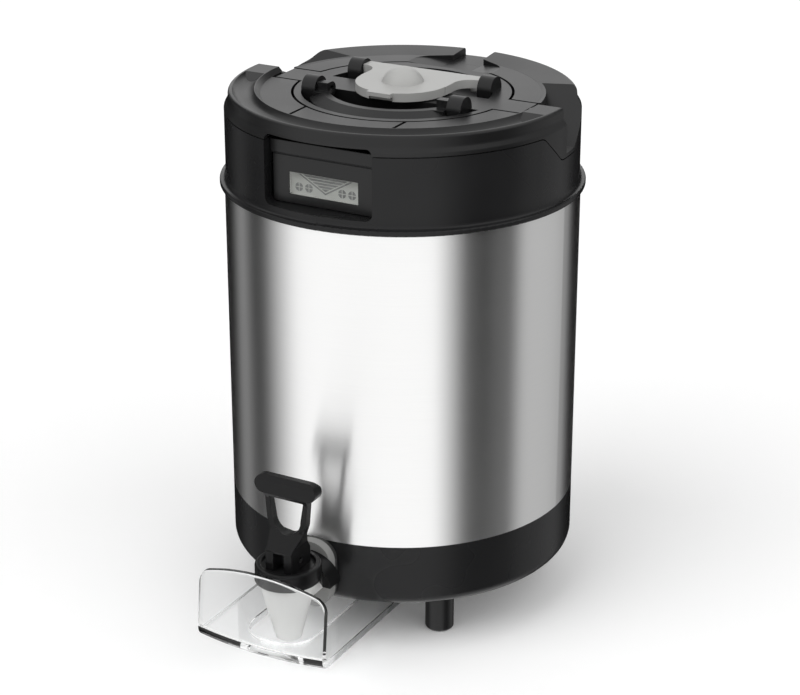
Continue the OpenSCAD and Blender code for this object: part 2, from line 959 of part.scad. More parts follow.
module seat_cup() {
    slope = seat_rise / (chamber_r - outlet_r);
    color(silicone) at_tap() rotate_extrude() difference() {
        polygon([[0, z_cup], [cup_nose, z_cup], [cup_r, z_cup + slope * (cup_r - cup_nose)],
            [cup_r, z_cup_top - cup_edge], [cup_r - cup_edge, z_cup_top], [0, z_cup_top]]);
        band(0, stem_r + pin_fit, z_socket, far);
    }
}

module stem() {
    color("silver") at_tap() difference() {
        union() {
            rod(stem_r, z_socket, z_pin);
            translate([0, 0, z_pin]) cube([tang_w, tang_d, tang_h], center = true);
        }
        rod_x(handle_pin_r + pin_fit, -far, far, 0, z_pin);
    }
}

module handle_pin() {
    half = foot_w / 2 - pin_inset;
    color("silver") at_tap() rod_x(handle_pin_r, -half, half, 0, z_pin);
}

// Points of one ring of the spring's wire, at turn angle a and height z
function spring_ring(a, z, sides) = [for (i = [0 : sides - 1])
    let (b = 360 * i / sides, r = spring_r + spring_wire * cos(b))
    [r * cos(a), r * sin(a), z + spring_wire * sin(b)]];

module stem_spring() {
    sides = 8;
    steps = 18 * spring_turns;
    z0 = z_cup_top + spring_wire + spring_seat;
    z1 = z_bonnet - spring_wire - spring_seat;
    points = [for (k = [0 : steps]) each spring_ring(360 * spring_turns * k / steps,
        z0 + (z1 - z0) * k / steps, sides)];
    walls = [for (k = [0 : steps - 1], i = [0 : sides - 1]) each [
        [k * sides + i, (k + 1) * sides + i, k * sides + (i + 1) % sides],
        [(k + 1) * sides + i, (k + 1) * sides + (i + 1) % sides, k * sides + (i + 1) % sides]]];
    caps = [[for (i = [0 : sides - 1]) i], [for (i = [sides - 1 : -1 : 0]) steps * sides + i]];
    color("silver") at_tap() polyhedron(points, concat(walls, caps));
}

module handle_front() {
    z_mid = z_bar + bar_h / 2;
    difference() {
        union() {
            translate([0, z_mid]) square([bar_w - bar_h, bar_h], center = true);
            for (sx = [-1, 1])
                translate([sx * (bar_w - bar_h) / 2, z_mid]) circle(bar_h / 2);
            polygon([[-foot_w / 2, z_foot], [foot_w / 2, z_foot], [foot_w / 2, z_knee],
                [waist_half, z_waist], [handle_half, z_mid], [-handle_half, z_mid],
                [-waist_half, z_waist], [-foot_w / 2, z_knee]]);
        }
        handle_window();
    }
}

// Finger opening: flat top, sides drawn in to a round bottom
module handle_window() {
    top_half = handle_half - window_side;
    z_round = z_waist + window_rise;
    z_head = z_bar - window_rise;
    translate([0, z_round]) circle(window_round);
    polygon([[-window_round, z_round], [window_round, z_round], [top_half, z_head], [-top_half, z_head]]);
}

module handle_side() {
    y_front = plate_shift - handle_t / 2;
    y_back = plate_shift + handle_t / 2;
    b_front = plate_shift - bar_t / 2;
    b_back = plate_shift + bar_t / 2;
    polygon([[-foot_d / 2, z_foot], [foot_d / 2, z_foot], [foot_d / 2, z_foot + heel_h],
        [y_back, z_knee + heel_rise], [y_back, z_bar - bar_flare], [b_back, z_bar],
        [b_back, z_crown - bar_flare], [b_back - bar_edge, z_crown], [b_front + bar_edge, z_crown],
        [b_front, z_crown - bar_flare], [b_front, z_bar], [y_front, z_bar - bar_flare],
        [y_front, z_knee + toe_rise], [-foot_d / 2, z_knee - toe_drop]]);
}

module faucet_handle() {
    slot = tang_w + 2 * gap;
    color(black) at_tap() difference() {
        intersection() {
            front_extrude(-foot_d, foot_d) handle_front();
            side_extrude(-bar_w, bar_w) handle_side();
        }
        box([-slot / 2, -foot_d, 0], [slot / 2, tang_d / 2 + slot_back, z_pin + slot_up]);
        rod_x(handle_pin_r + fit, -far, far, 0, z_pin);
    }
}

// Splash guard

module guard_floor() {
    slot_y = tap_y - slot_front;
    difference() {
        intersection() {
            translate([0, guard_y + guard_round]) circle(guard_round, $fn = 360);
            translate([-guard_w / 2, guard_y]) square([guard_w, guard_len]);
        }
        translate([-slot_w / 2, slot_y + slot_round]) square([slot_w, guard_len]);
        translate([-slot_w / 2 + slot_round, slot_y]) square([slot_w - 2 * slot_round, slot_round + eps]);
        for (sx = [-1, 1])
            translate([sx * (slot_w / 2 - slot_round), slot_y + slot_round]) circle(slot_round);
    }
}

// Front view of the guard's wall, with its arched top edge and round corners
module guard_front_view() {
    half = guard_w / 2;
    arch_r = (half * half + guard_arch * guard_arch) / (2 * guard_arch);
    z_side = z_guard + guard_h - guard_corner;
    z_arch = z_guard + guard_h + guard_arch;
    intersection() {
        translate([0, z_arch - arch_r]) circle(arch_r, $fn = 360);
        union() {
            band(-half, half, z_guard, z_side);
            band(-half + guard_corner, half - guard_corner, z_guard, z_arch);
            for (sx = [-1, 1])
                translate([sx * (half - guard_corner), z_side]) circle(guard_corner);
        }
    }
}

module guard_wall_cone(inset) {
    h = guard_h + guard_arch + 2 * eps;
    translate([0, guard_y + guard_round, z_guard - eps])
        cylinder(r1 = guard_round - inset, r2 = guard_round - inset - guard_lean, h = h, $fn = 360);
}

module faucet_guard() {
    color([0.8, 0.85, 0.88, 0.5]) union() {
        translate([0, 0, z_guard]) linear_extrude(guard_t) guard_floor();
        intersection() {
            difference() {
                guard_wall_cone(0);
                guard_wall_cone(guard_t);
            }
            front_extrude(guard_y - eps, guard_y + guard_deep) guard_front_view();
        }
    }
}

// Lid

module knuckle(x0, y, z_floor) {
    rod_x(knuckle_r, x0, x0 + knuckle_l, y, z_hinge);
    box([x0, y - knuckle_r, z_floor - eps], [x0 + knuckle_l, y + knuckle_r, z_hinge]);
}

module lid_blank() {
    difference() {
        union() {
            rod(lid_r, z_lid, z_top);
            rod(boss_r, z_boss, z_lid + eps);
            box([-ear_x, ear_y - ear_w / 2, z_top - ear_t], [ear_x, ear_y + ear_w / 2, z_top]);
        }
        intersection() {
            rod(well_r, z_well, far);
            box([-far, -far, 0], [far, well_y, far + eps]);
        }
        difference() {
            intersection() {
                rod(recess_r, z_recess, far);
                box([-far, recess_y, 0], [far, far, far + eps]);
            }
            rod(brew_r + hole_wall, 0, z_top);
        }
        front_extrude(lid_flat, far) pocket_section();
    }
}

module lid_top() {
    color(black) difference() {
        union() {
            lid_blank();
            both_sides() {
                knuckle(flap_knuckle, flap_back, z_recess);
                knuckle(bail_knuckle, -bail_front, z_well);
            }
        }
        rod(brew_r, 0, far);
        both_sides() {
            rod_x(pin_r + pin_fit, flap_knuckle - eps, flap_knuckle + pin_end, flap_back, z_hinge);
            rod_x(pin_r + pin_fit, bail_knuckle - eps, bail_knuckle + pin_end, -bail_front, z_hinge);
        }
    }
}

module lid_gasket() {
    lip = neck_r - gap;
    color(silicone) rotate_extrude()
        polygon([[gasket_in, z_gasket], [boss_r, z_gasket], [lip, z_gasket + gasket_h / 2],
            [boss_r, z_boss], [gasket_in, z_boss]]);
}

module lid_plug() {
    color(dark) rotate_extrude() {
        band(brew_r + fit, boss_r, z_plug, z_gasket);
        band(brew_r + fit, gasket_in - fit, z_gasket - eps, z_boss);
    }
}

module brew_tube() {
    color(silicone) rotate_extrude() band(brew_r - tube_wall, brew_r, z_plug - tube_len, z_boss);
}

module hinge_pins(x0, y) {
    color("silver") both_sides() rod_x(pin_r, x0 - eye_l, x0 + pin_end - pin_play, y, z_hinge);
}

module flap_pins() { hinge_pins(flap_knuckle, flap_back); }
module bail_pins() { hinge_pins(bail_knuckle, -bail_front); }

module flap_outline() {
    rear = flap_back + flap_rear;
    y_fillet = rear - arm_fillet - arm_t;
    x_body = flap_arm - arm_fillet;
    circle(flap_r);
    translate([-x_body, 0]) square([2 * x_body, rear]);
    for (sx = [0, 1]) mirror([sx, 0]) difference() {
        translate([x_body - eps, y_fillet]) square([arm_fillet + eps, rear - y_fillet]);
        translate([flap_arm, y_fillet]) circle(arm_fillet);
    }
    translate([-tab_w / 2, -flap_r - tab_out]) square([tab_w, flap_r]);
}

module brew_flap() {
    ball = (dome_r * dome_r + dome_h * dome_h) / (2 * dome_h);
    z_face = z_flap + flap_t;
    color(grey) difference() {
        union() {
            translate([0, 0, z_flap]) linear_extrude(flap_t) flap_outline();
            intersection() {
                sphere_at([0, 0, z_face + dome_h - ball], ball);
                rod(dome_r + eps, z_face - eps, far);
            }
            both_sides() rod_x(arm_eye, flap_arm - eye_l, flap_arm, flap_back, z_hinge);
        }
        // finger step under the front tab
        box([-tab_w / 2, -far, 0], [tab_w / 2, -flap_r + tab_step, z_face - tab_t]);
        both_sides() rod_x(pin_r + fit, flap_arm - eye_l - gap, flap_arm + eps, flap_back, z_hinge);
    }
}

module flap_seal() {
    color(silicone) rod(brew_r - seal_gap, z_flap - seal_h, z_flap);
}

module lid_bail() {
    x_arm = bail_knuckle - gap;
    x_block = x_arm - bail_block;
    y_arm = -bail_front - knuckle_r - bail_arm_gap;
    z_face = z_bail + bail_t;
    color(black) difference() {
        union() {
            difference() {
                rotate_extrude() polygon([[bail_in, z_bail], [bail_r, z_bail],
                    [bail_r, z_face - bail_bevel], [bail_in + bail_land, z_face], [bail_in, z_face]]);
                box([-far, -bail_front, 0], [far, far, far]);
                both_sides() box([x_arm, y_arm, 0], [far, far, far]);
            }
            both_sides() {
                rod_x(bail_eye, x_block, x_arm, -bail_front, z_hinge);
                box([x_block, y_arm - bail_arm_lap, z_bail], [x_arm, -bail_front, z_face]);
                box([x_block, -bail_front - bail_eye, z_bail], [x_arm, -bail_front, z_hinge + bail_eye]);
            }
        }
        both_sides() rod_x(pin_r + fit, x_block - eps, x_arm + eps, -bail_front, z_hinge);
    }
}

outer_shell();
inner_liner();
base_ring();
base_plate();
leg_front_right();
leg_front_left();
leg_rear_right();
leg_rear_left();
guard_rail_right();
guard_rail_left();
collar();
top_cover();
rear_rim();
lid_ring();
display_bezel();
display_window();
display_screen();
display_board();
drain_elbow();
faucet_body();
shank_flange();
shank_gasket();
shank_nut();
shank_collar();
bonnet();
stem_spring();
stem();
seat_cup();
handle_pin();
faucet_handle();
faucet_guard();
lid_top();
lid_gasket();
lid_plug();
brew_tube();
flap_pins();
bail_pins();
lid_bail();
brew_flap();
flap_seal();
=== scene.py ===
"""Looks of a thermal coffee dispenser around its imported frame.

Metres, +Z up, the tap faces -Y. The origin is on the vessel's axis, on the floor.
"""

import json
import math

import bmesh
import bpy
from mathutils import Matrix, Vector


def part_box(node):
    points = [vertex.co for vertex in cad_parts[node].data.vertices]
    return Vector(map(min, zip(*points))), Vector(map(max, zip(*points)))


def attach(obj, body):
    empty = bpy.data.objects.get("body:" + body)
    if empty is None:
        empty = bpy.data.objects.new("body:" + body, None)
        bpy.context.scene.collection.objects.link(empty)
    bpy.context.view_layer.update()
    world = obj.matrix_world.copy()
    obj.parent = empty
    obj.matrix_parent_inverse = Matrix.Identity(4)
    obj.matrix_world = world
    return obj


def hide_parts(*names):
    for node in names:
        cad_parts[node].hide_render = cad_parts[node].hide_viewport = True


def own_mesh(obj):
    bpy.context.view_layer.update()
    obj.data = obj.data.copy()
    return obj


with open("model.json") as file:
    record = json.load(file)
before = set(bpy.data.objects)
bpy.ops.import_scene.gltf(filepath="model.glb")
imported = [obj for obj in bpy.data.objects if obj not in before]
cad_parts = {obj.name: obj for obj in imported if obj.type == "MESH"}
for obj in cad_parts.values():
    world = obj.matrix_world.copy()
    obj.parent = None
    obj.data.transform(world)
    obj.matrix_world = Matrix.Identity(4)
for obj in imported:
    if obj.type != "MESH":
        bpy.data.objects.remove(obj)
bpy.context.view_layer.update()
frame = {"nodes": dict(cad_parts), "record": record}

MM = 0.001

# Camera: the photograph's angle and framing; CAMERA_ANGLE is where it stands round the object
CAMERA_AZIMUTH = math.radians(28.6)
CAMERA_PITCH = math.radians(22.298)
CAMERA_PLACE = (0.6178, -1.1367, 0.69005)
CAMERA_ANGLE = math.atan2(CAMERA_PLACE[1], CAMERA_PLACE[0])
CAMERA_LENS = 98.46
CAMERA_SENSOR = 36
CAMERA_CLIP = 0.05

# Light: the world's fill and the lamps together bring a white floor to white.
# A lamp's angles are in degrees, and its azimuth runs from -Y towards +X.
FILL_LEVEL = 0.60
LAMPS = {
    "key": {"level": 0.30, "azimuth": -25, "elevation": 50, "softness": 50},
    "side": {"level": 0.16, "azimuth": 80, "elevation": 40, "softness": 60},
}

# Floor: its lift is added for the camera only
FLOOR_RADIUS = 9.0
FLOOR_SIDES = 96
FLOOR_COLOUR = (0.95, 0.95, 0.95, 1)
FLOOR_LIFT = 0.06

# Black cards round the stage, seen in reflections only; they are lower behind the object.
# Each pair is an angle from the camera, in degrees to its right, and how dark the card is there.
CARD_RADIUS = 2.5
CARD_SIDES = 120
CARD_LOW = -3.0
CARD_HIGH = 2.2
CARD_BACK = 0.3
CARD_BACK_ANGLE = math.radians(155)
CARD_DARKNESS = [
    (-180, 1.0), (-140, 1.0), (-124, 0.70), (-110, 1.0), (-98, 0.93), (-70, 0.0), (20, 0.0), (40, 0.95),
    (52, 1.0), (64, 0.92), (72, 0.97), (83, 0.52), (116, 0.54), (126, 0.62), (136, 1.0), (180, 1.0),
]

# Greatest width of the rounded edges on the moulded pieces, in millimetres.
# Where edges would overlap, all edges of that piece are made narrower.
EDGE_ROUNDING = {
    "base_ring": 0.4, "base_plate": 0.4, "leg_front_right": 0.8, "leg_front_left": 0.8,
    "leg_rear_right": 0.8, "leg_rear_left": 0.8, "guard_rail_right": 0.4, "guard_rail_left": 0.4,
    "collar": 0.5, "top_cover": 0.7, "rear_rim": 0.5, "lid_ring": 0.7, "display_bezel": 0.4,
    "faucet_body": 0.6, "bonnet": 0.6, "faucet_handle": 1.0, "lid_top": 0.9, "lid_bail": 0.9,
    "brew_flap": 0.7,
}

# Rounding: faces across an edge, angles of a sharp edge and of a flat, and reach of a weld in metres
EDGE_SEGMENTS = 2
EDGE_ANGLE = math.radians(32)
FLAT_ANGLE = math.radians(0.4)
WELD = 1e-6

# Display marks, in millimetres: a level sign of bars in a V, and round marks that a cross parts in four.
# The sign is placed down from the window's upper edge, and the marks up from its lower edge and to
# each side of its middle. Front and back are distances before the screen's face.
SIGN_DOWN = 1.0
SIGN_HALF = 18.3
SIGN_DEPTH = 10.5
SIGN_STROKE = 1.6
SIGN_INSET = 3.2
SIGN_BARS = 5
SIGN_BAR = 1.25
SIGN_STEP = 1.8
MARK_RADIUS = 2.6
MARK_HALF_GAP = 0.3
MARK_PLACES = (11.2, 17.8)
MARK_UP = 4.3
MARK_FRONT = 0.25
MARK_BACK = 0.05

# Splash guard, in millimetres: its wall leans back from a round bend, and its floor has a slot
GUARD_WALL = 4.0
GUARD_FLOOR = 5.0
GUARD_BEND = 7.0
GUARD_FILLET = 3.0
GUARD_LIP = 1.5
GUARD_LEAN = 5.5
GUARD_ARCH = 9.0
GUARD_CORNER = 6.0
GUARD_SWEEP = 200.0
GUARD_SLOT = 43.2
GUARD_SLOT_ROUND = 18.0
GUARD_SLOT_FRONT = 17.0
GUARD_EDGE = 0.9

# Tap's flange plate, its gasket and its half-collar, in millimetres from the shank's axis
FLANGE_W = 29.0
FLANGE_UP = 21.5
FLANGE_DOWN = 22.0
FLANGE_ROUND = 13.0
FLANGE_EDGE = 1.0
GASKET_INSET = 0.7
GASKET_EDGE = 0.3
HALF_COLLAR_REACH = 21.3
HALF_COLLAR_UP = 16.2
HALF_COLLAR_EDGE = 0.8

# Stem spring: radius of its wire in millimetres, its turns, and the faces along a turn and round the wire
SPRING_WIRE = 0.8
SPRING_TURNS = 4
SPRING_STEPS = 24
SPRING_SIDES = 12

# Faces along a round corner, a larger corner, a quarter of a round mark and the half-collar's outline
CORNER_STEPS = 6
LARGE_CORNER_STEPS = 12
MARK_STEPS = 8
HALF_COLLAR_STEPS = 96


# Node helpers


def add(tree, kind, inputs=None, **settings):
    """Adds a shader node, with its settings, and links or sets each named input."""
    node = tree.nodes.new(kind)
    for name, value in settings.items():
        setattr(node, name, value)
    for name, value in (inputs or {}).items():
        if isinstance(value, bpy.types.NodeSocket):
            tree.links.new(value, node.inputs[name])
        else:
            node.inputs[name].default_value = value
    return node


def new_material(name):
    material = bpy.data.materials.new(name)
    material.use_nodes = True
    material.node_tree.nodes.clear()
    return material, material.node_tree


def output(tree, shader):
    add(tree, "ShaderNodeOutputMaterial", {"Surface": shader})


def principled(tree, inputs):
    output(tree, add(tree, "ShaderNodeBsdfPrincipled", inputs).outputs["BSDF"])


def mixed(tree, share, first, second):
    """Shader between two others, by share."""
    return add(tree, "ShaderNodeMixShader", {0: share, 1: first, 2: second}).outputs["Shader"]


def calculated(tree, operation, first, second):
    return add(tree, "ShaderNodeMath", {0: first, 1: second}, operation=operation).outputs[0]


def object_place(tree):
    return add(tree, "ShaderNodeTexCoord").outputs["Object"]


def noise(tree, scale, detail=2.0):
    """Noise in the object's own space; scale is one number or one for each axis, per metre."""
    place = object_place(tree)
    if not isinstance(scale, (int, float)):
        place = add(tree, "ShaderNodeMapping", {"Vector": place, "Scale": scale}).outputs["Vector"]
        scale = 1.0
    settings = {"Vector": place, "Scale": scale, "Detail": detail}
    return add(tree, "ShaderNodeTexNoise", settings).outputs["Fac"]


def spread(tree, value, low, high):
    """Noise, which keeps near one half, spread about between two values."""
    settings = {"Value": value, "From Min": 0.2, "From Max": 0.8, "To Min": low, "To Max": high}
    return add(tree, "ShaderNodeMapRange", settings, clamp=False).outputs["Result"]


def shade(colour, factor):
    return (*(min(1.0, c * factor) for c in colour), 1)


def tint(tree, value, colour, low, high):
    """Colour that noise makes darker and lighter, between two factors.

    The mix node's colours are its inputs 6 and 7 and its output 2.
    """
    share = spread(tree, value, 0, 1)
    inputs = {0: share, 6: shade(colour, low), 7: shade(colour, high)}
    return add(tree, "ShaderNodeMix", inputs, data_type="RGBA", clamp_factor=False).outputs[2]


def bump(tree, height, depth, strength=1.0):
    settings = {"Height": height, "Distance": depth, "Strength": strength}
    return add(tree, "ShaderNodeBump", settings).outputs["Normal"]


# Materials: scales of noise are per metre, and depths are in metres


def plastic(name, colour, roughness, grain_mm, grain_depth, vary=0.12, specular=0.5):
    """Moulded plastic: fine grain, slow changes of shade and gloss."""
    cloud_scale = 28.0
    gloss_change = 0.03
    material, tree = new_material(name)
    grain = noise(tree, 1 / (grain_mm * MM), detail=3.0)
    clouds = noise(tree, cloud_scale, detail=1.0)
    principled(tree, {
        "Base Color": tint(tree, clouds, colour, 1 - vary, 1 + vary),
        "Roughness": spread(tree, clouds, roughness - gloss_change, roughness + gloss_change),
        "Normal": bump(tree, grain, grain_depth),
        "Specular IOR Level": specular,
    })
    return material


def brushed_steel(name, colour, roughness_low, roughness_high):
    """Steel brushed round the vessel, so that it spreads reflections up and down."""
    line_scale = (26, 26, 2900)
    line_depth = 2e-7
    streak_scale = (5, 5, 520)
    material, tree = new_material(name)
    lines = noise(tree, line_scale, detail=3.0)
    streaks = noise(tree, streak_scale)
    principled(tree, {
        "Base Color": tint(tree, lines, colour, 0.985, 1.015),
        "Metallic": 1.0,
        "Roughness": spread(tree, streaks, roughness_low, roughness_high),
        "Anisotropic": 0.9,
        "Anisotropic Rotation": 0.25,
        "Tangent": add(tree, "ShaderNodeTangent", direction_type="RADIAL", axis="Z").outputs["Tangent"],
        "Normal": bump(tree, lines, line_depth, strength=0.5),
    })
    return material


def bright_metal(name, colour, roughness):
    """Turned and drawn steel with fine scuffs."""
    scuff_scale = (900, 900, 900)
    scuff_depth = 2e-6
    scuff_dulling = 0.08
    material, tree = new_material(name)
    scuffs = noise(tree, scuff_scale, detail=3.0)
    principled(tree, {
        "Base Color": tint(tree, scuffs, colour, 0.94, 1.04),
        "Metallic": 1.0,
        "Roughness": spread(tree, scuffs, roughness, roughness + scuff_dulling),
        "Normal": bump(tree, scuffs, scuff_depth),
    })
    return material


def silicone(name, colour):
    """Milky rubber that lets a little light in."""
    cloud_scale = 60.0
    grain_scale = 2200.0
    grain_depth = 4e-6
    material, tree = new_material(name)
    clouds = noise(tree, cloud_scale, detail=4.0)
    principled(tree, {
        "Base Color": tint(tree, clouds, colour, 0.94, 1.03),
        "Roughness": spread(tree, clouds, 0.42, 0.55),
        "Subsurface Weight": 0.25,
        "Subsurface Radius": (0.004, 0.004, 0.0035),
        "Normal": bump(tree, noise(tree, grain_scale), grain_depth),
    })
    return material


def clear(name, colour, roughness, wave_depth):
    """Clear plastic that lets the light through to what is behind it."""
    wave_scale = 35.0
    dull_change = 0.02
    material, tree = new_material(name)
    waves = noise(tree, wave_scale, detail=1.0)
    glass = add(tree, "ShaderNodeBsdfPrincipled", {
        "Base Color": (*colour, 1),
        "Roughness": spread(tree, waves, roughness, roughness + dull_change),
        "IOR": 1.49,
        "Transmission Weight": 1.0,
        "Normal": bump(tree, waves, wave_depth, strength=0.3),
    })
    passing = add(tree, "ShaderNodeBsdfTransparent", {"Color": (*colour, 1)})
    shadow = add(tree, "ShaderNodeLightPath").outputs["Is Shadow Ray"]
    output(tree, mixed(tree, shadow, glass.outputs["BSDF"], passing.outputs["BSDF"]))
    return material


def display_glass(name, colour, painted_glow):
    """Liquid crystal panel: grey-green with a fine pixel weave, and a faint painted glow that brightens it
    in the shade of its pocket.
    """
    cell_scale = 2600.0
    cloud_scale = 90.0
    material, tree = new_material(name)
    settings = {"Vector": object_place(tree), "Scale": cell_scale}
    cells = add(tree, "ShaderNodeTexVoronoi", settings).outputs["Distance"]
    clouds = noise(tree, cloud_scale)
    principled(tree, {
        "Base Color": tint(tree, clouds, colour, 0.93, 1.06),
        "Roughness": spread(tree, cells, 0.35, 0.45),
        # Painted glow: the panel is no lamp; this emission lifts it out of the pocket's shade.
        "Emission Color": (*colour, 1),
        "Emission Strength": painted_glow,
    })
    return material


def circuit_board(name, colour):
    """Lacquered board with tracks."""
    track_scale = 160.0
    gloss_scale = 300.0
    material, tree = new_material(name)
    tracks = add(tree, "ShaderNodeTexBrick", {
        "Vector": object_place(tree),
        "Scale": track_scale,
        "Color1": shade(colour, 1.0),
        "Color2": shade(colour, 0.8),
        "Mortar": shade(colour, 1.6),
    }, offset=0.5)
    principled(tree, {
        "Base Color": tracks.outputs["Color"],
        "Roughness": spread(tree, noise(tree, gloss_scale), 0.3, 0.4),
    })
    return material


MATERIALS = {
    "shell_steel": brushed_steel("shell_steel", (0.97, 0.97, 0.965), 0.285, 0.305),
    "liner_steel": brushed_steel("liner_steel", (0.72, 0.72, 0.71), 0.28, 0.38),
    "bright_steel": bright_metal("bright_steel", (0.78, 0.78, 0.78), 0.12),
    "gloss_black": plastic("gloss_black", (0.011, 0.011, 0.0115), 0.28, 0.5, 3e-6, specular=0.25),
    "satin_black": plastic("satin_black", (0.008, 0.008, 0.0083), 0.34, 0.4, 5e-6, specular=0.38),
    "matte_black": plastic("matte_black", (0.02, 0.02, 0.02), 0.55, 0.4, 8e-6, specular=0.25),
    "light_grey": plastic("light_grey", (0.62, 0.62, 0.61), 0.38, 0.4, 4e-6, vary=0.03),
    "mid_grey": plastic("mid_grey", (0.24, 0.24, 0.235), 0.42, 0.4, 4e-6, vary=0.05),
    "silicone": silicone("silicone", (0.75, 0.75, 0.72)),
    "black_rubber": plastic("black_rubber", (0.03, 0.03, 0.03), 0.6, 0.3, 1e-5),
    "clear_acrylic": clear("clear_acrylic", (0.99, 0.995, 0.995), 0.01, 2e-5),
    "display_lens": clear("display_lens", (0.97, 0.98, 0.98), 0.0, 2e-6),
    # The display's last number is its painted glow.
    "display_glass": display_glass("display_glass", (0.64, 0.645, 0.62), 0.12),
    "board_green": circuit_board("board_green", (0.05, 0.2, 0.08)),
}
MARK_MATERIAL = plastic("display_marks", (0.16, 0.165, 0.16), 0.4, 0.3, 1e-6)
TAP_BLACK = plastic("tap_black", (0.007, 0.007, 0.0073), 0.3, 0.4, 3e-6, specular=0.2)
NODE_MATERIALS = {
    # The brew flap is the light grey plastic, darker here: painted shade that offsets the light on its
    # upward face.
    "brew_flap": plastic("flap_grey_painted_shade", (0.40, 0.40, 0.39), 0.4, 0.4, 4e-6, vary=0.04),
    "faucet_handle": TAP_BLACK,
    "bonnet": TAP_BLACK,
}


# CAD nodes: finish and rounded edges


def finish_node(name, slot):
    for held in frame["nodes"][name].material_slots:
        held.material = NODE_MATERIALS.get(name, MATERIALS[slot])


def round_edges(piece, width_mm):
    """Rounds the sharp edges of a piece, by up to the given width."""
    weld = piece.modifiers.new("weld", "WELD")
    weld.merge_threshold = WELD
    flats = piece.modifiers.new("flats", "DECIMATE")
    flats.decimate_type = "DISSOLVE"
    flats.angle_limit = FLAT_ANGLE
    bevel = piece.modifiers.new("edges", "BEVEL")
    bevel.width = width_mm * MM
    bevel.segments = EDGE_SEGMENTS
    bevel.limit_method = "ANGLE"
    bevel.angle_limit = EDGE_ANGLE
    normals = piece.modifiers.new("normals", "WEIGHTED_NORMAL")
    normals.keep_sharp = True


for part in frame["record"]["subparts"]:
    finish_node(part["node"], part["material_slot"])
for name, width in EDGE_ROUNDING.items():
    round_edges(frame["nodes"][name], width)


# Mesh helpers


def new_object(name, data):
    held = bpy.data.objects.new(name, data)
    bpy.context.scene.collection.objects.link(held)
    return held


def new_piece(name, mesh, smooth=True):
    """Object of a finished mesh, which is freed."""
    bmesh.ops.recalc_face_normals(mesh, faces=mesh.faces)
    data = bpy.data.meshes.new(name)
    mesh.to_mesh(data)
    mesh.free()
    if smooth:
        data.shade_smooth()
    return new_object(name, data)


def loft(mesh, rings):
    """Skins a row of rings of points and closes both ends."""
    rows = [[mesh.verts.new(point) for point in ring] for ring in rings]
    for first, second in zip(rows, rows[1:]):
        for k in range(len(first)):
            j = (k + 1) % len(first)
            mesh.faces.new((first[k], first[j], second[j], second[k]))
    mesh.faces.new(rows[0])
    mesh.faces.new(rows[-1])


def front_plate(mesh, origin, outline, y0, y1):
    """Plate between two places on Y, from an outline of (x, z) in millimetres about an origin.

    It isn't a loft, because the rounding after a cut depends on the order of the cutter's faces.
    """
    points = [origin + MM * Vector(point) for point in outline]
    front = [mesh.verts.new((x, y0, z)) for x, z in points]
    back = [mesh.verts.new((x, y1, z)) for x, z in points]
    mesh.faces.new(front)
    mesh.faces.new(list(reversed(back)))
    for k in range(len(points)):
        j = (k + 1) % len(points)
        mesh.faces.new((front[j], front[k], back[k], back[j]))


def rounded(corners, steps=CORNER_STEPS):
    """Points along an outline of (x, y, radius) corners, each rounded by its radius."""
    points = []
    for k, (x, y, radius) in enumerate(corners):
        here = Vector((x, y))
        before = (Vector(corners[k - 1][:2]) - here).normalized()
        after = (Vector(corners[(k + 1) % len(corners)][:2]) - here).normalized()
        if radius == 0:
            points.append(here)
            continue
        half = before.angle(after) / 2
        centre = here + (before + after).normalized() * radius / math.sin(half)
        first = here + before * radius / math.tan(half) - centre
        last = here + after * radius / math.tan(half) - centre
        start = math.atan2(first.y, first.x)
        turn = math.remainder(math.atan2(last.y, last.x) - start, math.tau)
        for step in range(steps + 1):
            angle = start + turn * step / steps
            points.append(centre + radius * Vector((math.cos(angle), math.sin(angle))))
    return points


def cut(piece, cutter, operation):
    """Applies a boolean operation to a piece and deletes the cutter."""
    modifier = piece.modifiers.new("cut", "BOOLEAN")
    modifier.operation = operation
    modifier.solver = "EXACT"
    modifier.object = cutter
    formed = piece.evaluated_get(bpy.context.evaluated_depsgraph_get())
    whole = bpy.data.meshes.new_from_object(formed)
    piece.modifiers.clear()
    piece.data = whole
    piece.data.materials.clear()
    bpy.data.objects.remove(cutter)


# Display marks


def level_sign():
    """Outlines of the V and of the bars between its strokes, from the middle of its upper edge."""
    slope = SIGN_HALF / SIGN_DEPTH
    inner = SIGN_HALF - SIGN_STROKE
    yield [
        (-SIGN_HALF, 0), (-inner, 0), (0, SIGN_STROKE / slope - SIGN_DEPTH),
        (inner, 0), (SIGN_HALF, 0), (0, -SIGN_DEPTH),
    ]
    for k in range(SIGN_BARS):
        z0 = -k * SIGN_STEP
        z1 = z0 - SIGN_BAR
        wide = SIGN_HALF - SIGN_INSET + slope * z0
        narrow = wide - slope * SIGN_BAR
        yield [(-wide, z0), (wide, z0), (narrow, z1), (-narrow, z1)]


def round_mark():
    """Outlines of the four quarters of a disc, parted by a cross, from its centre."""
    start = math.asin(MARK_HALF_GAP / MARK_RADIUS)
    sweep = math.pi / 2 - 2 * start
    corner = math.hypot(MARK_HALF_GAP, MARK_HALF_GAP)
    for quarter in range(4):
        turn = math.pi / 2 * quarter
        inner = turn + math.pi / 4
        angles = [turn + start + sweep * k / MARK_STEPS for k in range(MARK_STEPS + 1)]
        arc = [(MARK_RADIUS * math.cos(a), MARK_RADIUS * math.sin(a)) for a in angles]
        yield [(corner * math.cos(inner), corner * math.sin(inner))] + arc


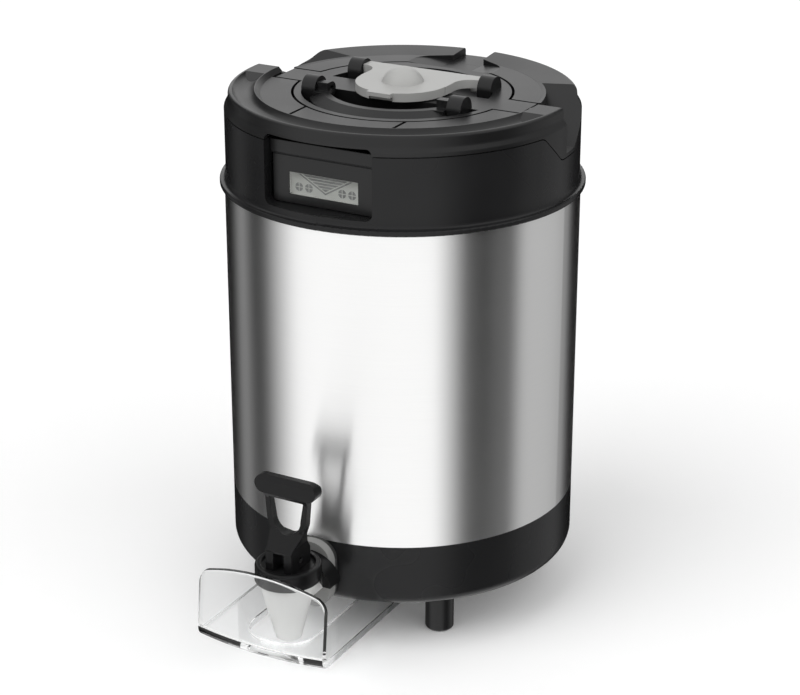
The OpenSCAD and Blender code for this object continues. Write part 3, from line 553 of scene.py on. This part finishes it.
def make_display_marks():
    low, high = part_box("display_window")
    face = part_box("display_screen")[0].y
    middle = (low.x + high.x) / 2
    signs = [(Vector((middle, high.z - SIGN_DOWN * MM)), level_sign())]
    for side in (-1, 1):
        for offset in MARK_PLACES:
            signs.append((Vector((middle + side * offset * MM, low.z + MARK_UP * MM)), round_mark()))
    mesh = bmesh.new()
    for origin, outlines in signs:
        for outline in outlines:
            front_plate(mesh, origin, outline, face - MARK_FRONT * MM, face - MARK_BACK * MM)
    marks = new_piece("display_marks", mesh, smooth=False)
    marks.data.materials.append(MARK_MATERIAL)
    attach(marks, "body")


make_display_marks()


# Splash guard


def guard_section(x, half, tall, deep):
    """Outline through wall, bend and floor at x: (y from the front, z from the floor's lower face)."""
    arch = (half ** 2 + GUARD_ARCH ** 2) / (2 * GUARD_ARCH)
    top = tall - arch + math.sqrt(arch ** 2 - x ** 2)
    past = max(0.0, abs(x) - half + GUARD_CORNER)
    top -= GUARD_CORNER - math.sqrt(GUARD_CORNER ** 2 - past ** 2)
    lean = GUARD_LEAN / tall
    front = GUARD_SWEEP - math.sqrt(GUARD_SWEEP ** 2 - x ** 2)
    return rounded([
        (deep, 0, 0),
        (front, 0, GUARD_BEND),
        (front + lean * top, top, GUARD_LIP),
        (front + lean * top + GUARD_WALL, top, GUARD_LIP),
        (front + lean * GUARD_FLOOR + GUARD_WALL, GUARD_FLOOR, GUARD_FILLET),
        (deep, GUARD_FLOOR, 0),
    ])


def guard_columns(half):
    """Places across the guard, closer together at its round corners."""
    flat_steps = 12
    corner_steps = 6
    flat = half - GUARD_CORNER
    middle = [flat * k / flat_steps for k in range(-flat_steps, flat_steps + 1)]
    quarters = [math.pi / 2 * k / corner_steps for k in range(1, corner_steps + 1)]
    ends = [flat + GUARD_CORNER * math.sin(angle) for angle in quarters]
    return [-x for x in reversed(ends)] + middle + ends


def guard_slot(deep):
    """Outline of the slot for the spout, open at the back: (x, y from the front)."""
    side = GUARD_SLOT / 2
    past = deep + GUARD_WALL
    return rounded([
        (-side, GUARD_SLOT_FRONT, GUARD_SLOT_ROUND),
        (side, GUARD_SLOT_FRONT, GUARD_SLOT_ROUND),
        (side, past, 0),
        (-side, past, 0),
    ], LARGE_CORNER_STEPS)


def make_guard():
    low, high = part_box("faucet_guard")
    half = (high.x - low.x) / 2 / MM
    tall = (high.z - low.z) / MM
    deep = (high.y - low.y) / MM

    def place(x, y, z):
        return low + Vector((half + x, y, z)) * MM

    mesh = bmesh.new()
    loft(mesh, [
        [place(x, y, z) for y, z in guard_section(x, half, tall, deep)]
        for x in guard_columns(half)
    ])
    guard = new_piece("splash_guard", mesh)
    mesh = bmesh.new()
    loft(mesh, [
        [place(x, y, z) for x, y in guard_slot(deep)]
        for z in (-GUARD_WALL, GUARD_FLOOR + GUARD_WALL)
    ])
    cut(guard, new_piece("guard_slot", mesh), "DIFFERENCE")
    guard.data.materials.append(MATERIALS["clear_acrylic"])
    round_edges(guard, GUARD_EDGE)
    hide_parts("faucet_guard")
    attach(guard, "guard")


make_guard()


# Tap: flange plate, its gasket and half-collar, drawn in from their solids


def flange_outline(inset):
    half = FLANGE_W / 2 - inset
    up = FLANGE_UP - inset
    down = FLANGE_DOWN - inset
    corners = [(-half, -down), (half, -down), (half, up), (-half, up)]
    return rounded([(x, z, FLANGE_ROUND - inset) for x, z in corners], LARGE_CORNER_STEPS)


def half_collar_outline():
    angles = [math.tau * k / HALF_COLLAR_STEPS for k in range(HALF_COLLAR_STEPS)]
    return [(HALF_COLLAR_REACH * math.cos(a), HALF_COLLAR_UP * math.sin(a)) for a in angles]


def make_tap_piece(name, node, material, outline, edge):
    """Copy of a solid, cut to an outline in the front view about the shank's axis."""
    nut_low, nut_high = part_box("shank_nut")
    axis = Vector((nut_low.x + nut_high.x, nut_low.z + nut_high.z)) / 2
    low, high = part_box(node)
    mesh = bmesh.new()
    mesh.from_mesh(frame["nodes"][node].data)
    bmesh.ops.remove_doubles(mesh, verts=mesh.verts, dist=WELD)
    piece = new_piece(name, mesh)
    mesh = bmesh.new()
    front_plate(mesh, axis, outline, low.y - MM, high.y + MM)
    cut(piece, new_piece(name + "_outline", mesh), "INTERSECT")
    piece.data.materials.append(material)
    round_edges(piece, edge)
    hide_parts(node)
    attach(piece, "body")


make_tap_piece(
    "tap_flange", "shank_flange", MATERIALS["mid_grey"], flange_outline(0), FLANGE_EDGE
)
make_tap_piece(
    "tap_gasket", "shank_gasket", MATERIALS["black_rubber"],
    flange_outline(GASKET_INSET), GASKET_EDGE
)
make_tap_piece(
    "tap_collar", "shank_collar", TAP_BLACK, half_collar_outline(), HALF_COLLAR_EDGE
)


# Stem spring


def spring_ring(middle, radius, turn, height):
    """Points round the wire where it is at an angle and a height."""
    wire = SPRING_WIRE * MM
    ring = []
    for k in range(SPRING_SIDES):
        angle = math.tau * k / SPRING_SIDES
        reach = radius + wire * math.cos(angle)
        place = (reach * math.cos(turn), reach * math.sin(turn), height + wire * math.sin(angle))
        ring.append(middle + Vector(place))
    return ring


def make_spring():
    """Coil between the seat cup and the bonnet, built at one length; the real coil shortens as the stem
    lifts.
    """
    low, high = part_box("stem_spring")
    middle = (low + high) / 2
    length = high.z - low.z
    rise = length / 2 - SPRING_WIRE * MM
    radius = (high.x - low.x) / 2 - SPRING_WIRE * MM
    steps = SPRING_STEPS * SPRING_TURNS
    mesh = bmesh.new()
    loft(mesh, [
        spring_ring(middle, radius, math.tau * k / SPRING_STEPS, rise * (2 * k / steps - 1))
        for k in range(steps + 1)
    ])
    spring = new_piece("valve_spring", mesh)
    spring.data.materials.append(MATERIALS["bright_steel"])
    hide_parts("stem_spring")
    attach(spring, "body")
    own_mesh(spring)


make_spring()


# Stage: floor, reflection cards, world, lamps, camera


def make_floor():
    bpy.ops.mesh.primitive_circle_add(vertices=FLOOR_SIDES, radius=FLOOR_RADIUS, fill_type="NGON")
    floor = bpy.context.object
    floor.name = "floor"
    material, tree = new_material("floor")
    pale = add(tree, "ShaderNodeBsdfDiffuse", {"Color": FLOOR_COLOUR})
    seen = add(tree, "ShaderNodeLightPath").outputs["Is Camera Ray"]
    strength = calculated(tree, "MULTIPLY", seen, FLOOR_LIFT)
    lift = add(tree, "ShaderNodeEmission", {"Color": (1, 1, 1, 1), "Strength": strength})
    both = add(tree, "ShaderNodeAddShader", {0: pale.outputs["BSDF"], 1: lift.outputs["Emission"]})
    output(tree, both.outputs["Shader"])
    floor.data.materials.append(material)
    floor.visible_glossy = False


def card_material():
    """Black that is more or less see-through round the stage, by the angle from the camera."""
    material, tree = new_material("cards")
    place = add(tree, "ShaderNodeNewGeometry").outputs["Position"]
    parts = add(tree, "ShaderNodeSeparateXYZ", {"Vector": place}).outputs
    angle = calculated(tree, "ARCTAN2", parts["Y"], parts["X"])
    turned = calculated(tree, "SUBTRACT", angle, CAMERA_ANGLE - math.pi)
    wrapped = calculated(tree, "FLOORED_MODULO", turned, math.tau)
    share = calculated(tree, "DIVIDE", wrapped, math.tau)
    ramp = add(tree, "ShaderNodeValToRGB", {"Fac": share})
    marks = ramp.color_ramp.elements
    while len(marks) < len(CARD_DARKNESS):
        marks.new(0.5)
    for mark, (degrees, dark) in zip(marks, CARD_DARKNESS):
        mark.position = (degrees + 180) / 360
        mark.color = (dark, dark, dark, 1)
    black = add(tree, "ShaderNodeEmission", {"Color": (0, 0, 0, 1)})
    passing = add(tree, "ShaderNodeBsdfTransparent")
    output(tree, mixed(tree, ramp.outputs["Color"], passing.outputs["BSDF"], black.outputs["Emission"]))
    return material


def make_cards():
    mesh = bmesh.new()
    for k in range(CARD_SIDES):
        ends = [math.tau * (k + step) / CARD_SIDES for step in (0, 1)]
        behind = abs(math.remainder(sum(ends) / 2 - CAMERA_ANGLE, math.tau)) > CARD_BACK_ANGLE
        top = CARD_BACK if behind else CARD_HIGH
        corners = [(ends[0], CARD_LOW), (ends[1], CARD_LOW), (ends[1], top), (ends[0], top)]
        mesh.faces.new([
            mesh.verts.new((CARD_RADIUS * math.cos(a), CARD_RADIUS * math.sin(a), z)) for a, z in corners
        ])
    cards = new_piece("cards", mesh, smooth=False)
    cards.data.materials.append(card_material())
    cards.visible_camera = False
    cards.visible_diffuse = False
    cards.visible_shadow = False
    cards.visible_transmission = False


def make_world():
    """White to the camera, in reflections and through clear pieces, and the fill level for other light."""
    world = bpy.data.worlds.new("studio")
    world.use_nodes = True
    tree = world.node_tree
    tree.nodes.clear()
    path = add(tree, "ShaderNodeLightPath").outputs
    seen = path["Is Camera Ray"]
    for ray in ("Is Glossy Ray", "Is Transmission Ray"):
        seen = calculated(tree, "MAXIMUM", seen, path[ray])
    levels = {"Value": seen, "To Min": FILL_LEVEL, "To Max": 1.0}
    strength = add(tree, "ShaderNodeMapRange", levels).outputs["Result"]
    light = add(tree, "ShaderNodeBackground", {"Color": (1, 1, 1, 1), "Strength": strength})
    add(tree, "ShaderNodeOutputWorld", {"Surface": light.outputs["Background"]})
    bpy.context.scene.world = world


def make_lamp(name, level, azimuth, elevation, softness):
    """Soft sun that adds the given level to a white floor."""
    lamp = bpy.data.lights.new(name, "SUN")
    lamp.energy = level * math.pi / math.sin(math.radians(elevation))
    lamp.angle = math.radians(softness)
    holder = new_object(name, lamp)
    holder.rotation_euler = (math.radians(90 - elevation), 0, math.radians(azimuth))
    holder.visible_glossy = False


def make_camera():
    camera = bpy.data.cameras.new("camera")
    camera.lens = CAMERA_LENS
    camera.sensor_width = CAMERA_SENSOR
    camera.clip_start = CAMERA_CLIP
    holder = new_object("camera", camera)
    holder.location = CAMERA_PLACE
    holder.rotation_euler = (math.pi / 2 - CAMERA_PITCH, 0, CAMERA_AZIMUTH)
    bpy.context.scene.camera = holder


make_floor()
make_cards()
make_world()
for name, lamp in LAMPS.items():
    make_lamp(name, **lamp)
make_camera()
bpy.context.scene.view_settings.view_transform = "Standard"
